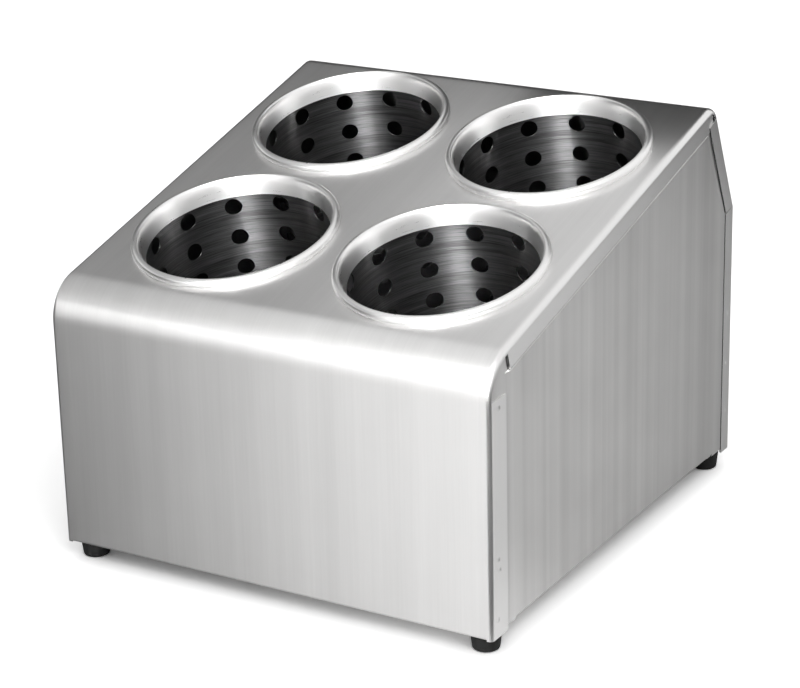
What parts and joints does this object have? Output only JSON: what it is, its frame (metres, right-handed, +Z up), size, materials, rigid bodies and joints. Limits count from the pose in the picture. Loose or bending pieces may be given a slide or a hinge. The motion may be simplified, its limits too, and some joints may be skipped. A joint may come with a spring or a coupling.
{
  "type": "cutlery holder",
  "caption": "Slanted stainless steel cutlery holder: a bent sheet housing on rubber feet with perforated lift-out cups hung in its sloping top.",
  "frame": {"origin": "centre of the bounding box at the undersides of the feet", "axes": "+X towards the object's right seen from the front, +Y from the front panel to the back, +Z up"},
  "size_m": [0.2666, 0.2922, 0.2261],
  "materials": {
    "housing_steel": "brushed",
    "rim_steel": "satin",
    "sleeve_steel": "brushed",
    "foot_rubber": "matte",
    "fastener_steel": "satin"
  },
  "bodies": {
    "housing": {"body_wrap": "housing_steel", "left_side_panel": "housing_steel", "right_side_panel": "housing_steel", "front_left_foot": "foot_rubber", "front_right_foot": "foot_rubber", "back_left_foot": "foot_rubber", "back_right_foot": "foot_rubber", "foot_studs": "fastener_steel", "foot_nuts": "fastener_steel"},
    "front_left_cup": {"front_left_cup_rim": "rim_steel", "front_left_cup_sleeve": "sleeve_steel", "front_left_cup_base": "sleeve_steel"},
    "front_right_cup": {"front_right_cup_rim": "rim_steel", "front_right_cup_sleeve": "sleeve_steel", "front_right_cup_base": "sleeve_steel"},
    "back_left_cup": {"back_left_cup_rim": "rim_steel", "back_left_cup_sleeve": "sleeve_steel", "back_left_cup_base": "sleeve_steel"},
    "back_right_cup": {"back_right_cup_rim": "rim_steel", "back_right_cup_sleeve": "sleeve_steel", "back_right_cup_base": "sleeve_steel"}
  },
  "joints": [
    {"name": "front_left_cup_lift", "type": "slide", "parent": "housing", "child": "front_left_cup", "axis": [0, -0.2538, 0.9673], "range_m": [0, 0.16]},
    {"name": "front_right_cup_lift", "type": "slide", "parent": "housing", "child": "front_right_cup", "axis": [0, -0.2538, 0.9673], "range_m": [0, 0.16]},
    {"name": "back_left_cup_lift", "type": "slide", "parent": "housing", "child": "back_left_cup", "axis": [0, -0.2538, 0.9673], "range_m": [0, 0.16]},
    {"name": "back_right_cup_lift", "type": "slide", "parent": "housing", "child": "back_right_cup", "axis": [0, -0.2538, 0.9673], "range_m": [0, 0.16]}
  ]
}
